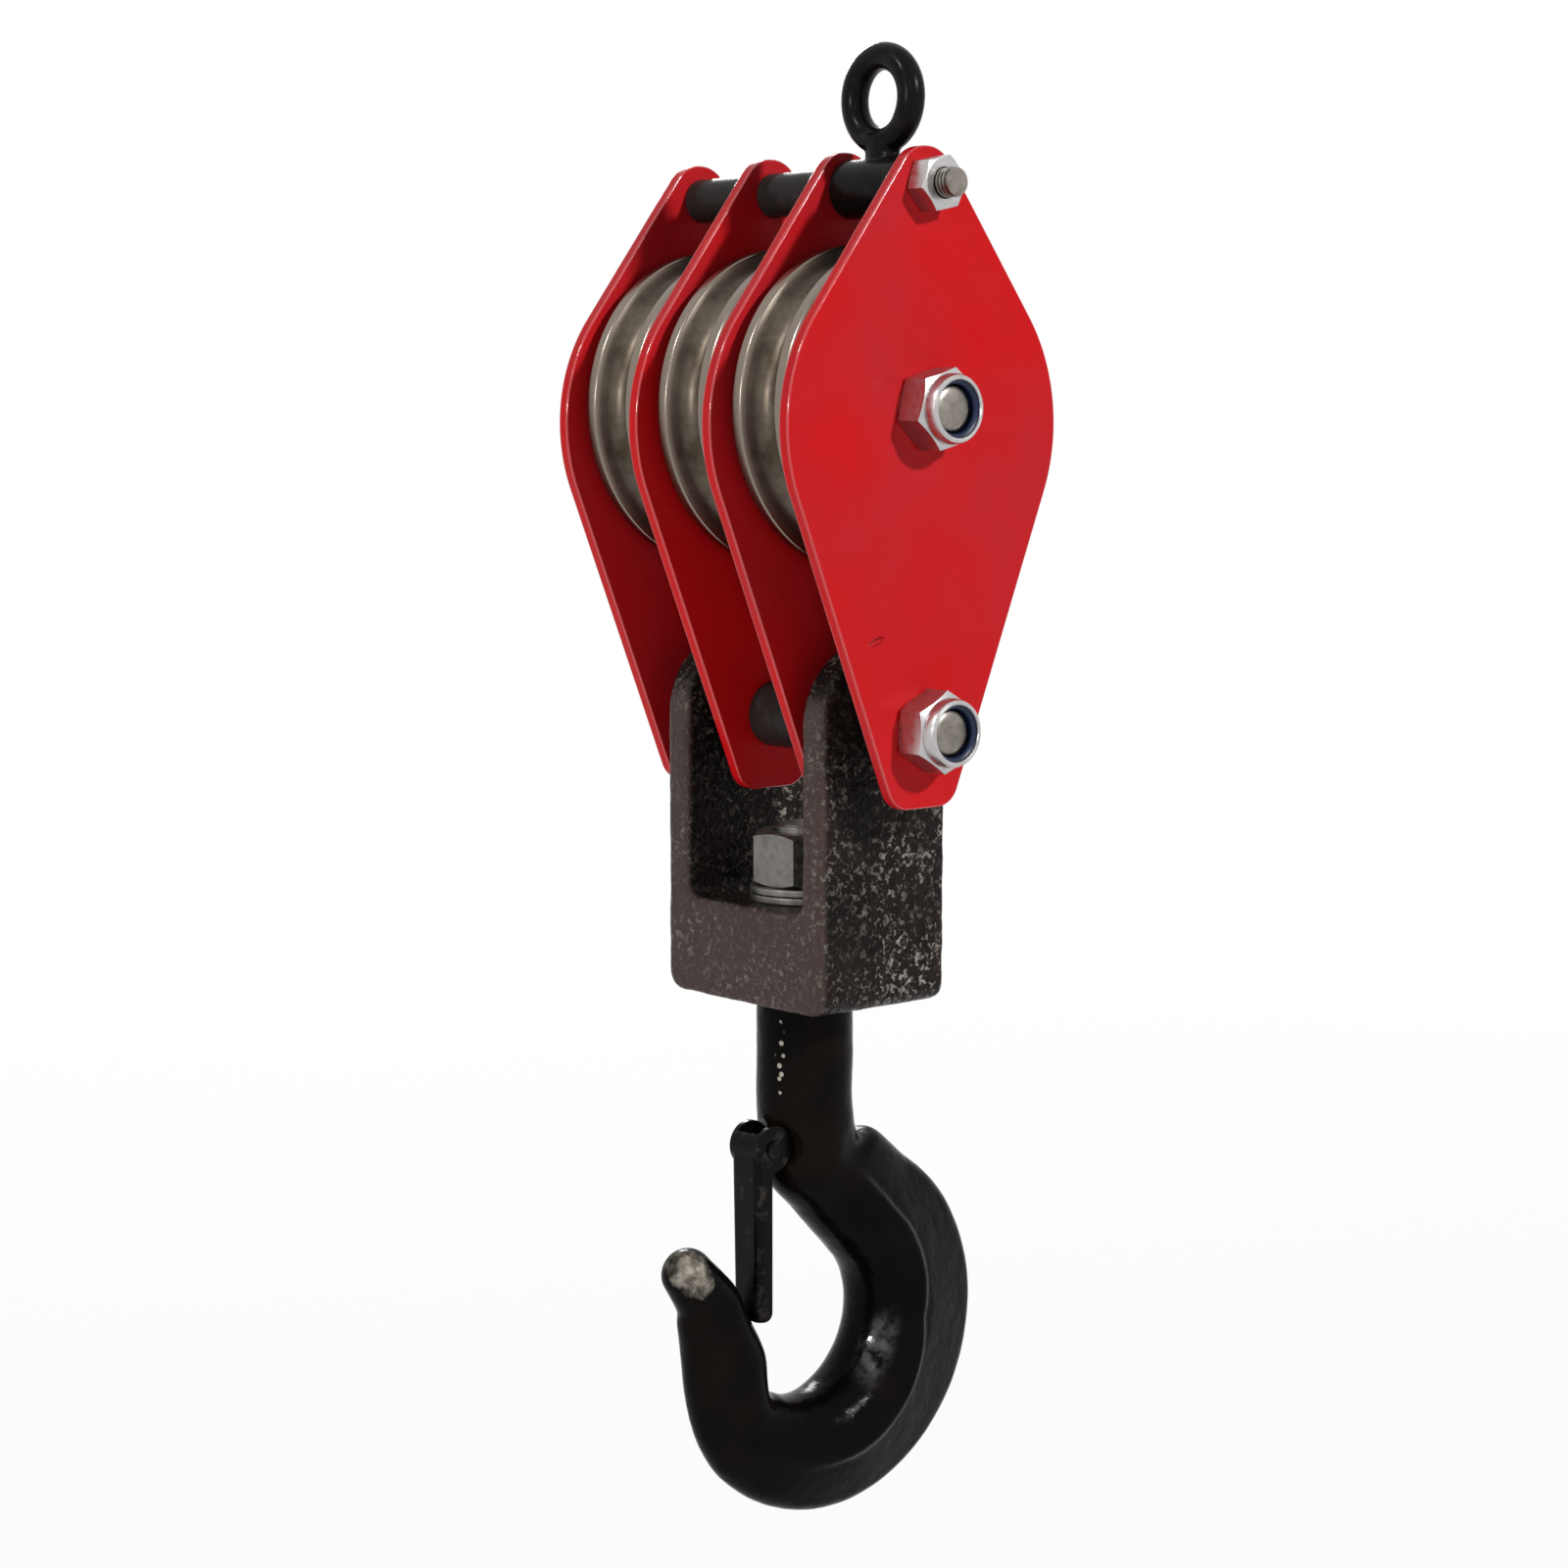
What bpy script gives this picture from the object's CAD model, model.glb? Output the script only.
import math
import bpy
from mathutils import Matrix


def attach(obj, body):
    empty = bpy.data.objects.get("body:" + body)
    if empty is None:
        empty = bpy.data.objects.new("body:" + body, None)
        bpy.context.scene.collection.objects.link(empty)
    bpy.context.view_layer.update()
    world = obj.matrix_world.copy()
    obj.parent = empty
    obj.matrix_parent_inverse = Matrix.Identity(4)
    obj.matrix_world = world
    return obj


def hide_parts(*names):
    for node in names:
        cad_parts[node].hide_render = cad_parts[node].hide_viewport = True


bl_info = {
    "name": "Triple pulley block",
    "version": (1, 0, 0),
    "blender": (4, 5, 0),
    "location": "View3D > Sidebar > Pulley block",
    "description": "Dresses a triple pulley block with a swivel hook and a becket eye",
    "category": "Object",
}

from functools import partial

import bpy
from bpy.props import FloatProperty, IntProperty, PointerProperty, StringProperty
from mathutils import Matrix, Vector

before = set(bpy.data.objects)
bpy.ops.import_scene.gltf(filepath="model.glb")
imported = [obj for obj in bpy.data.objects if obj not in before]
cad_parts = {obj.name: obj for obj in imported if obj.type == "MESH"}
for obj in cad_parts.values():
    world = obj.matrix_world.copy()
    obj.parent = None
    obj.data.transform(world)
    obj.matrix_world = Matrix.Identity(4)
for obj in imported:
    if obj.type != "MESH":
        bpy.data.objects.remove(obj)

MM = 0.001
# Millimetres: from plate to plate, from the middle to the outside of the stack, and from the axle to the upper and
# lower bolt, to the top of the hook's body and to the hinge of its latch.
PITCH = 38.5
STACK = 60.0
UPPER_BOLT = 72.0
LOWER_BOLT = -105.0
HOOK_TOP = -201.5
LATCH_HINGE = (-20.0, 0.0, -252.3)
# Thickness of the plates, radius of the holes for the large and the small bolts, of the sheaves and of their groove.
SHEET = 4.5
LARGE_HOLE = 8.2
SMALL_HOLE = 5.2
SHEAVE_RIM = 53.2
GROOVE = 7.2
# Inner circle of the hook's bowl and the outer one beside it, and the tip's dome, from the top of the hook's body.
BOWL_MIDDLE = (-2.7, -115.5)
BOWL_RADIUS = 26.8
BACK_SHIFT = (13.0, -4.1)
BACK_RADIUS = 66.3
TIP = Vector((-52.7, 0, -90.4))
TIP_LENGTH = 8.9
SHEAVES = (1, 2, 3)
UPRIGHT = (0, 0, 0)
ACROSS = (math.radians(90), 0, 0)
UP_TO_NEAR = Matrix.Rotation(math.radians(90), 4, "X")
UP_TO_FAR = Matrix.Rotation(math.radians(-90), 4, "X")


def length(name, description, default):
    """Size in metres with its default given in millimetres."""
    return FloatProperty(name=name, description=description, default=default * MM, unit="LENGTH")


def colour(name, description, default):
    """Colour as an sRGB hex value."""
    return StringProperty(name=name, description=description, default=default)


class PulleyBlockSizes(bpy.types.PropertyGroup):
    plate_edge: length("Plate edge", "Rounding of the painted plate edges", 0.9)
    sheave_edge: length("Sheave edge", "Rounding of the turned rims", 0.6)
    cast_lump: length("Casting lumps", "Height of the lumps on the cast yoke", 0.5)
    cast_cell: length("Casting cell", "Mesh cell of the cast yoke", 1.0)
    forge_lump: length("Forging lumps", "Height of the lumps on the forged hook", 0.35)
    forge_cell: length("Forging cell", "Mesh cell of the forged hook", 0.9)
    eye_cell: length("Eye cell", "Mesh cell of the becket eye", 0.6)
    floor_drop: length("Floor", "Floor below the axle", 560)
    turned_steps: IntProperty(name="Turned steps", description="Faces round a turned piece", default=96)


class PulleyBlockColours(bpy.types.PropertyGroup):
    enamel: colour("Plate enamel", "Gloss enamel of the cheek plates", "D3171C")
    enamel_haze: colour("Dull enamel", "Hazy patches in the plate enamel", "C4242A")
    sheave_steel: colour("Sheave steel", "Wiped steel on the rims of the sheaves", "857B70")
    oil_film: colour("Oil film", "Old oil on the flanks of the sheaves", "40382F")
    zinc: colour("Zinc", "Zinc plate of bolts and nuts", "BDBABA")
    nylon: colour("Nylon", "Locking rings of the nuts", "101C38")
    casting: colour("Yoke paint", "Paint over the cast yoke", "141110")
    rubbed_grain: colour("Rubbed grain", "High grains of the yoke rubbed pale", "AAA299")
    casting_brown: colour("Yoke dust", "Brown cast of the yoke's paint in patches", "2A2220")
    forging: colour("Hook paint", "Paint over the forged hook", "0A0909")
    forging_brown: colour("Hook patina", "Brown cast of the hook's paint in patches", "15100D")
    worn_steel: colour("Worn steel", "Steel where the paint has gone", "A79F92")
    sky: colour("Surround", "Soft light from all sides", "EEF0F5")


def linear(code, factor=1.0):
    """Linear colour of an sRGB hex value, darkened or lightened by a factor."""
    channels = [int(code[place:place + 2], 16) / 255 for place in (0, 2, 4)]
    flat = [c / 12.92 if c <= 0.04045 else ((c + 0.055) / 1.055) ** 2.4 for c in channels]
    return (*(channel * factor for channel in flat), 1.0)


# A Mix node for colours: its inputs are 0 for the share, 6 and 7 for the two colours, its output is 2.
COLOUR_MIX = {"out": 2, "data_type": "RGBA"}
# Length of a vector, and its share along an axis.
LENGTH = {"out": "Value", "operation": "LENGTH"}
ALONG = {"out": "Value", "operation": "DOT_PRODUCT"}
# Most of a noise lies between these values.
NOISE_SPAN = {"From Min": 0.3, "From Max": 0.7}


def add_node(tree, kind, links=None, out=0, **settings):
    """Add a node with its settings; links maps an input to a socket or a plain value. Returns an output."""
    node = tree.nodes.new(f"ShaderNode{kind}")
    for name, value in settings.items():
        setattr(node, name, value)
    for key, source in (links or {}).items():
        socket = node.inputs[key]
        if isinstance(source, bpy.types.NodeSocket):
            tree.links.new(source, socket)
        else:
            socket.default_value = source
    return node.outputs[out] if node.outputs else node


def empty_tree(owner):
    """Node tree of a new material or world, cleared."""
    owner.use_nodes = True
    owner.node_tree.nodes.clear()
    return owner.node_tree


def new_material(name, finish, *details):
    """Material whose shader a finish builds, given a way to add nodes, the Object coordinates and its details."""
    material = bpy.data.materials.new(name)
    add = partial(add_node, empty_tree(material))
    add("OutputMaterial", {"Surface": finish(add, add("TexCoord", out="Object"), *details)})
    return material


def distance(add, place, middle, turn, scale):
    """Distance from a middle, in a frame turned about Y by some degrees and scaled."""
    local = add("Mapping", {
        "Vector": place, "Location": middle, "Rotation": (0, math.radians(turn), 0), "Scale": scale,
    }, vector_type="TEXTURE")
    return add("VectorMath", {0: local}, **LENGTH)


def red_enamel(add, place, colours):
    """Sprayed enamel on sheet steel: an even deep red with a broad soft shine and faint orange peel."""
    # thin and full coats of paint, in clouds about 60 mm wide
    cloud = add("TexNoise", {"Vector": place, "Scale": 1 / 0.06})
    share = add("MapRange", {"Value": cloud, "From Min": 0.35, "From Max": 0.65})
    paint = add("Mix", {0: share, 6: linear(colours.enamel_haze), 7: linear(colours.enamel)}, **COLOUR_MIX)
    # handling: slightly rubbed patches about 14 mm wide shine less
    smudge = add("TexNoise", {"Vector": place, "Scale": 1 / 0.014, "Detail": 5.0})
    rough = add("MapRange", {"Value": smudge, **NOISE_SPAN, "To Min": 0.2, "To Max": 0.34})
    # ripples of sprayed paint, about 2 mm apart
    peel = add("TexNoise", {"Vector": place, "Scale": 1 / 0.0022, "Detail": 1.0})
    skin = add("Bump", {"Height": peel, "Distance": 0.00002, "Strength": 0.45})
    # a shallow knock, 9 mm long, low on the near plate
    reach = distance(add, place, (-0.0212, -0.06, -0.0749), -16, (1.0, 1.0, 0.3))
    hollow = add("MapRange", {"Value": reach, "From Min": 0.001, "From Max": 0.0048}, interpolation_type="SMOOTHSTEP")
    knock = add("Bump", {"Height": hollow, "Distance": 0.0014, "Normal": skin})
    # the paint runs thick and glossy round the plate edges: a thin pale line where they turn
    across = add("VectorMath", {0: place, 1: (0, 1, 0)}, **ALONG)
    level = add("Math", {0: across, 1: PITCH * MM / 2})
    sheet = add("Math", {0: level, 1: PITCH * MM / 2, 2: -PITCH * MM / 2}, operation="WRAP")
    side = add("Math", {0: sheet}, operation="ABSOLUTE")
    turn = add("Math", {0: side, 1: 0.00185, 2: 0.00036}, operation="COMPARE")
    gloss = add("MapRange", {"Value": turn, "To Min": 0.08, "To Max": 0.9})
    sleek = add("MapRange", {"Value": turn, "To Min": 1.0, "To Max": 0.45})
    finish = add("Math", {0: rough, 1: sleek}, operation="MULTIPLY")
    return add("BsdfPrincipled", {
        "Base Color": paint, "Roughness": finish, "Specular IOR Level": gloss, "Normal": knock,
    })


def turned_steel(add, centre, colours, row):
    """Machined steel: concentric tool marks, bright rims and a brown film of old oil in the groove."""
    place = add("Mapping", {"Vector": centre, "Location": (0, (row - 2) * PITCH * MM, 0)}, vector_type="TEXTURE")
    flat = add("VectorMath", {0: place, 1: (1, 0, 1)}, operation="MULTIPLY")
    radius = add("VectorMath", {0: flat}, **LENGTH)
    along = add("VectorMath", {0: place, 1: (0, 1, 0)}, **ALONG)
    # tool marks: a feed of about half a millimetre, as rings on the faces and round the groove
    rings = add("CombineXYZ", {"X": radius, "Y": along})
    marks = add("TexNoise", {"Vector": rings, "Scale": 1 / 0.0005, "Roughness": 0.7})
    cut = add("Bump", {"Height": marks, "Distance": 0.00003, "Strength": 0.5})
    # oil film in patches about 16 mm wide, wiped off near the rim
    patch = add("TexNoise", {"Vector": place, "Scale": 1 / 0.016, "Detail": 5.0, "Roughness": 0.6})
    film = add("MapRange", {"Value": patch, "From Min": 0.3, "From Max": 0.66, "To Min": 0.45, "To Max": 1.0})
    wiped = add("MapRange", {"Value": radius, "From Min": 0.0518, "From Max": 0.0532, "To Min": 1.0, "To Max": 0.1})
    share = add("Math", {0: film, 1: wiped}, operation="MULTIPLY")
    metal = add("Mix", {0: share, 6: linear(colours.sheave_steel), 7: linear(colours.oil_film)}, **COLOUR_MIX)
    rough = add("MapRange", {"Value": share, "To Min": 0.24, "To Max": 0.42})
    return add("BsdfPrincipled", {"Base Color": metal, "Metallic": 1.0, "Roughness": rough, "Normal": cut})


def metal_skin(add, place, code, roughness, grain_mm, tarnish):
    """Plain metal of a formed part: a clean shine, duller where it was pressed, handled or oxidised."""
    # dull clouds about 4 mm wide
    cloud = add("TexNoise", {"Vector": place, "Scale": 1 / 0.004, "Detail": 4.0, "Roughness": 0.6})
    share = add("MapRange", {"Value": cloud, "From Min": 0.4, "From Max": 0.72})
    metal = add("Mix", {0: share, 6: linear(code), 7: linear(code, tarnish)}, **COLOUR_MIX)
    grain = add("TexNoise", {"Vector": place, "Scale": 1 / (grain_mm * MM), "Detail": 4.0})
    rough = add("MapRange", {"Value": grain, **NOISE_SPAN, "To Min": roughness * 0.85, "To Max": roughness * 1.25})
    relief = add("Bump", {"Height": grain, "Distance": 0.00003, "Strength": 0.3})
    return add("BsdfPrincipled", {"Base Color": metal, "Metallic": 1.0, "Roughness": rough, "Normal": relief})


def nylon_ring(add, place, colours):
    """Moulded nylon: dark blue, with a soft sheen and fine mould grain."""
    cloud = add("TexNoise", {"Vector": place, "Scale": 1 / 0.0025})
    tint = add("Mix", {0: cloud, 6: linear(colours.nylon), 7: linear(colours.nylon, 1.8)}, **COLOUR_MIX)
    grain = add("TexNoise", {"Vector": place, "Scale": 1 / 0.0008})
    relief = add("Bump", {"Height": grain, "Distance": 0.00003, "Strength": 0.4})
    return add("BsdfPrincipled", {"Base Color": tint, "Roughness": 0.35, "Specular IOR Level": 0.3, "Normal": relief})


def painted_casting(add, place, colours):
    """Black paint over a sand casting: brown-black, with a pebbled skin whose grains catch the light."""
    cloud = add("TexNoise", {"Vector": place, "Scale": 1 / 0.022, "Detail": 4.0, "Roughness": 0.6})
    share = add("MapRange", {"Value": cloud, "From Min": 0.35, "From Max": 0.68})
    paint = add("Mix", {0: share, 6: linear(colours.casting), 7: linear(colours.casting_brown)}, **COLOUR_MIX)
    # sand grains under the paint: pebbles about 2 mm wide over waves about 5 mm wide
    waves = add("TexNoise", {"Vector": place, "Scale": 1 / 0.005, "Detail": 4.0, "Roughness": 0.62})
    pebbles = add("TexNoise", {
        "Vector": place, "Scale": 1 / 0.0021, "Detail": 3.0, "Roughness": 0.55, "Distortion": 0.8,
    })
    swell = add("Bump", {"Height": waves, "Distance": 0.0016, "Strength": 0.8})
    skin = add("Bump", {"Height": pebbles, "Distance": 0.0009, "Strength": 0.9, "Normal": swell})
    # the highest grains are rubbed to grey where the casting was handled, in areas about 18 mm wide
    areas = add("TexNoise", {"Vector": place, "Scale": 1 / 0.018})
    handled = add("MapRange", {"Value": areas, "From Min": 0.36, "From Max": 0.6, "To Min": 0.25, "To Max": 1.0})
    crests = add("MapRange", {"Value": pebbles, "From Min": 0.54, "From Max": 0.66})
    # less of it toward the left corner, whose side face is grey-brown with dust
    across = add("VectorMath", {0: place, 1: (1, 0, 0)}, **ALONG)
    reach = add("MapRange", {"Value": across, "From Min": -0.012, "From Max": 0.008, "To Min": 0.4, "To Max": 1.0})
    most = add("Math", {0: handled, 1: reach}, operation="MULTIPLY")
    rubbed = add("Math", {0: crests, 1: most}, operation="MULTIPLY")
    dust = add("MapRange", {"Value": across, "From Min": -0.0252, "From Max": -0.0272, "To Min": 0.0, "To Max": 0.8})
    dusty = add("Mix", {0: dust, 6: paint, 7: linear(colours.casting_brown, 3.9)}, **COLOUR_MIX)
    tint = add("Mix", {0: rubbed, 6: dusty, 7: linear(colours.rubbed_grain)}, **COLOUR_MIX)
    rough = add("MapRange", {"Value": waves, **NOISE_SPAN, "To Min": 0.34, "To Max": 0.16})
    return add("BsdfPrincipled", {
        "Base Color": tint, "Roughness": rough, "Specular IOR Level": 0.045, "Normal": skin,
    })


def painted_forging(add, place, colours):
    """Gloss black over forging scale; the front of the tip is worn to brown-grey steel."""
    cloud = add("TexNoise", {"Vector": place, "Scale": 1 / 0.03, "Detail": 3.0})
    share = add("MapRange", {"Value": cloud, "From Min": 0.4, "From Max": 0.7})
    paint = add("Mix", {0: share, 6: linear(colours.forging), 7: linear(colours.forging_brown)}, **COLOUR_MIX)
    # wear on the tip: an oval about 9 mm by 14 mm, grey-brown and soft at its rim
    reach = distance(add, place, (-0.0559, -0.0060, -0.2890), -35, (0.8, 1.0, 1.2))
    blots = add("TexNoise", {"Vector": place, "Scale": 1 / 0.0045, "Detail": 3.0, "Roughness": 0.55})
    ragged = add("Math", {0: blots, 1: 0.008, 2: reach}, operation="MULTIPLY_ADD")
    worn = add("MapRange", {"Value": ragged, "From Min": 0.0132, "From Max": 0.0090})
    rubbed = add("MapRange", {"Value": blots, "From Min": 0.34, "From Max": 0.62})
    bare = add("Mix", {
        0: rubbed, 6: linear(colours.worn_steel, 1.15), 7: linear(colours.worn_steel, 0.3),
    }, **COLOUR_MIX)
    # slings have polished the lower inside of the bowl, in blots along about 30 mm
    beside = distance(add, place, (0.0235, -0.0125, -0.3300), 27, (0.0075, 0.010, 0.0175))
    inner = add("MapRange", {"Value": beside, "From Min": 1.0, "From Max": 0.3}, interpolation_type="SMOOTHSTEP")
    mottle = add("MapRange", {"Value": blots, "From Min": 0.36, "From Max": 0.6})
    polish = add("Math", {0: inner, 1: mottle}, operation="MULTIPLY")
    shine = add("MapRange", {"Value": polish, "To Min": 0.032, "To Max": 0.9})
    # chips: rows of bright specks down the neck and down the outside below the tip
    grit = add("TexVoronoi", {"Vector": place, "Scale": 1 / 0.0034, "Randomness": 0.8})
    speck = add("MapRange", {"Value": grit, "From Min": 0.3, "From Max": 0.22, "To Min": 0.0, "To Max": 0.9})
    rows = []
    for middle, reach_x, reach_z in (((-0.0159, -0.0055, -0.221), 0.0022, 0.0130),
                                     ((-0.0580, -0.0050, -0.324), 0.0030, 0.0190)):
        away = distance(add, place, middle, 0, (reach_x, reach_x, reach_z))
        rows.append(add("Math", {0: away, 1: 1.0}, operation="LESS_THAN"))
    inside = add("Math", {0: rows[0], 1: rows[1]}, operation="MAXIMUM")
    chips = add("Math", {0: inside, 1: speck}, operation="MULTIPLY")
    skin_tint = add("Mix", {0: worn, 6: paint, 7: bare}, **COLOUR_MIX)
    tint = add("Mix", {0: chips, 6: skin_tint, 7: linear(colours.worn_steel, 1.4)}, **COLOUR_MIX)
    # hammer lumps about 6 mm wide under fine scale
    dents = add("TexNoise", {"Vector": place, "Scale": 1 / 0.006, "Detail": 3.0})
    scale = add("TexNoise", {"Vector": place, "Scale": 1 / 0.0012, "Detail": 3.0})
    swell = add("Bump", {"Height": dents, "Distance": 0.0007, "Strength": 0.5})
    skin = add("Bump", {"Height": scale, "Distance": 0.00008, "Strength": 0.5, "Normal": swell})
    gloss = add("MapRange", {"Value": dents, **NOISE_SPAN, "To Min": 0.12, "To Max": 0.26})
    return add("BsdfPrincipled", {
        "Base Color": tint, "Roughness": gloss, "Specular IOR Level": shine, "Normal": skin,
    })


def black_enamel(add, place, code, rubbed_code, gloss):
    """Stoved black on small steel parts: dark, half glossy, rubbed paler in small patches."""
    rub = add("TexNoise", {"Vector": place, "Scale": 1 / 0.006, "Detail": 5.0, "Roughness": 0.65})
    share = add("MapRange", {"Value": rub, "From Min": 0.55, "From Max": 0.7})
    tint = add("Mix", {0: share, 6: linear(code), 7: linear(rubbed_code)}, **COLOUR_MIX)
    rough = add("MapRange", {"Value": rub, **NOISE_SPAN, "To Min": gloss * 0.7, "To Max": gloss * 1.4})
    grain = add("TexNoise", {"Vector": place, "Scale": 1 / 0.0018, "Detail": 3.0})
    relief = add("Bump", {"Height": grain, "Distance": 0.0001, "Strength": 0.5})
    return add("BsdfPrincipled", {
        "Base Color": tint, "Roughness": rough, "Specular IOR Level": 0.07, "Normal": relief,
    })


def pale_floor(add, place):
    """Matt white floor: it keeps the shadow near the object and fades to plain white further out."""
    flat = add("VectorMath", {0: place, 1: (1, 1, 0)}, operation="MULTIPLY")
    reach = add("VectorMath", {0: flat}, **LENGTH)
    fade = add("MapRange", {"Value": reach, "From Min": 0.4, "From Max": 2.0, "To Min": 0.88, "To Max": 1.0})
    share = add("Math", {0: fade, 1: seen_directly(add)}, operation="MULTIPLY")
    matt = add("BsdfDiffuse", {"Color": (0.93, 0.93, 0.93, 1)})
    white = add("Emission", {"Color": (1, 1, 1, 1)})
    return add("MixShader", {0: share, 1: matt, 2: white})


def seen_directly(add):
    """1 where the camera, a reflection or a glass sees the surface, 0 where it lights the object."""
    rays = [add("LightPath", out=name) for name in ("Is Camera Ray", "Is Glossy Ray", "Is Transmission Ray")]
    two = add("Math", {0: rays[0], 1: rays[1]}, operation="MAXIMUM")
    return add("Math", {0: two, 1: rays[2]}, operation="MAXIMUM")


def surround(colours):
    """White surround that lights the object softly."""
    scene = bpy.context.scene
    scene.world = scene.world or bpy.data.worlds.new("surround")
    add = partial(add_node, empty_tree(scene.world))
    light = add("Background", {"Color": linear(colours.sky), "Strength": 0.05})
    white = add("Background", {"Color": (1, 1, 1, 1)})
    add("OutputWorld", {"Surface": add("MixShader", {0: seen_directly(add), 1: light, 2: white})})


def clear_selection():
    """Leave edit mode and select nothing."""
    if bpy.context.mode != "OBJECT":
        bpy.ops.object.mode_set(mode="OBJECT")
    bpy.ops.object.select_all(action="DESELECT")


def take(*pieces):
    """Select these objects alone, in object mode, the first one active."""
    clear_selection()
    for piece in pieces:
        piece.select_set(True)
    bpy.context.view_layer.objects.active = pieces[0]


def pick(piece, kind, test):
    """Enter edit mode with the elements that a test picks: by their points in millimetres, a face by its normal."""
    take(piece)
    bpy.ops.object.mode_set(mode="EDIT")
    bpy.ops.mesh.select_mode(type=kind)
    bpy.ops.mesh.select_all(action="DESELECT")
    bpy.ops.object.mode_set(mode="OBJECT")
    mesh = piece.data
    for element in {"VERT": mesh.vertices, "EDGE": mesh.edges, "FACE": mesh.polygons}[kind]:
        if kind == "EDGE":
            element.select = test(*(mesh.vertices[number].co / MM for number in element.vertices))
        elif kind == "FACE":
            element.select = test(element.normal)
        else:
            element.select = test(element.co / MM)
    bpy.ops.object.mode_set(mode="EDIT")


def bevel_edges(piece, test, width, segments):
    """Round the edges that a test picks, to a width in millimetres."""
    pick(piece, "EDGE", test)
    bpy.ops.mesh.bevel(offset=width * MM, segments=segments)
    bpy.ops.object.mode_set(mode="OBJECT")


def started(add, **settings):
    """Add a primitive with nothing else selected and return it."""
    clear_selection()
    add(**settings)
    return bpy.context.object


def block(size, place):
    """Plain block with its size and place in millimetres."""
    piece = started(bpy.ops.mesh.primitive_cube_add, size=MM, location=Vector(place) * MM, scale=size)
    settle(piece, Matrix())
    return piece


def drum(radius, depth, faces, place=(0, 0, 0), turn=ACROSS):
    """Plain cylinder in millimetres, along Y unless it is turned otherwise."""
    piece = started(bpy.ops.mesh.primitive_cylinder_add, vertices=faces, radius=radius * MM, depth=depth * MM,
                    location=Vector(place) * MM, rotation=turn)
    settle(piece, Matrix())
    return piece


def drawn(points, closed):
    """Line of edges through points, left in edit mode with everything selected."""
    piece = started(bpy.ops.mesh.primitive_plane_add, size=MM)
    bpy.ops.object.mode_set(mode="EDIT")
    bpy.ops.mesh.select_mode(type="VERT")
    bpy.ops.mesh.select_all(action="SELECT")
    bpy.ops.mesh.merge(type="CENTER")
    here = points[0]
    bpy.ops.transform.translate(value=here)
    for there in points[1:] + points[:1] * closed:
        bpy.ops.mesh.extrude_vertices_move(TRANSFORM_OT_translate={"value": there - here})
        here = there
    bpy.ops.mesh.select_all(action="SELECT")
    return piece


def merge_points(reach):
    """Merge all points of the mesh in edit mode that are closer than a reach in millimetres."""
    bpy.ops.mesh.select_all(action="SELECT")
    bpy.ops.mesh.remove_doubles(threshold=reach * MM)
    bpy.ops.mesh.select_all(action="SELECT")


def face_outward():
    """Turn all faces outward and leave edit mode."""
    bpy.ops.mesh.select_all(action="SELECT")
    bpy.ops.mesh.normals_make_consistent()
    bpy.ops.object.mode_set(mode="OBJECT")


def turned(corners, steps):
    """Spin a profile of (radius, height) corners in millimetres about Z; a closed profile is a ring."""
    ring = corners[0][0] > 0 and corners[-1][0] > 0
    piece = drawn([Vector((radius, 0, height)) * MM for radius, height in corners], ring)
    bpy.ops.mesh.spin(steps=steps, angle=math.tau, center=(0, 0, 0), axis=(0, 0, 1))
    merge_points(0.005)
    face_outward()
    return piece


def modify(piece, kind, **settings):
    """Add a modifier and apply it."""
    take(piece)
    modifier = piece.modifiers.new(kind.lower(), kind)
    for name, value in settings.items():
        setattr(modifier, name, value)
    bpy.ops.object.modifier_apply(modifier=modifier.name)


def combine(piece, other, operation):
    """Boolean with another piece, which is used up."""
    modify(piece, "BOOLEAN", object=other, operation=operation, solver="EXACT")
    bpy.data.objects.remove(other)


def round_off(piece, width_mm, segments=2, angle=30):
    """Round the edges that are sharper than an angle."""
    modify(piece, "BEVEL", width=width_mm * MM, segments=segments, limit_method="ANGLE",
           angle_limit=math.radians(angle))


def grow_together(piece, cell, rounds):
    """Turn joined forms into one skin of even cells and soften it."""
    modify(piece, "REMESH", mode="VOXEL", voxel_size=cell)
    modify(piece, "SMOOTH", factor=0.5, iterations=rounds)


def settle(piece, matrix):
    """Put the piece in its place and leave the place in its mesh."""
    take(piece)
    piece.matrix_world = matrix @ piece.matrix_world
    bpy.ops.object.transform_apply()


def at(x, y, z, turn=None):
    """Placement in millimetres, after an optional turn."""
    place = Matrix.Translation((x * MM, y * MM, z * MM))
    return place if turn is None else place @ turn


def deliver(piece, place, name, body, slot, material, *nodes, angle=32, formed=False):
    """Place and name the finished piece, shade it and hand it over; a formed piece keeps its soft normals."""
    settle(piece, place)
    piece.name = name
    piece.data.name = name
    bpy.ops.object.mode_set(mode="EDIT")
    merge_points(0.002)
    face_outward()
    bpy.ops.object.shade_smooth_by_angle(angle=math.radians(angle))
    if not formed:
        modify(piece, "WEIGHTED_NORMAL", keep_sharp=True)
    piece.data.materials.clear()
    piece.data.materials.append(material)
    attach(piece, body)
    if nodes:
        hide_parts(*nodes)


def hexagon(flats, height, turn, bore=0):
    """Hexagon standing on z = 0 with chamfered corners, and a bore if it is a nut."""
    piece = started(bpy.ops.mesh.primitive_cylinder_add, vertices=6, radius=flats / math.sqrt(3) * MM,
                    depth=height * MM, location=(0, 0, height / 2 * MM), rotation=(0, 0, math.radians(turn - 30)))
    face, corner = flats * 0.485, flats * 0.6
    fall = (corner - face) * math.tan(math.radians(28))
    envelope = turned([(bore, 0), (face, 0), (corner, fall), (corner, height - fall), (face, height),
                       (bore, height)], 72)
    combine(piece, envelope, "INTERSECT")
    return piece


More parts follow.
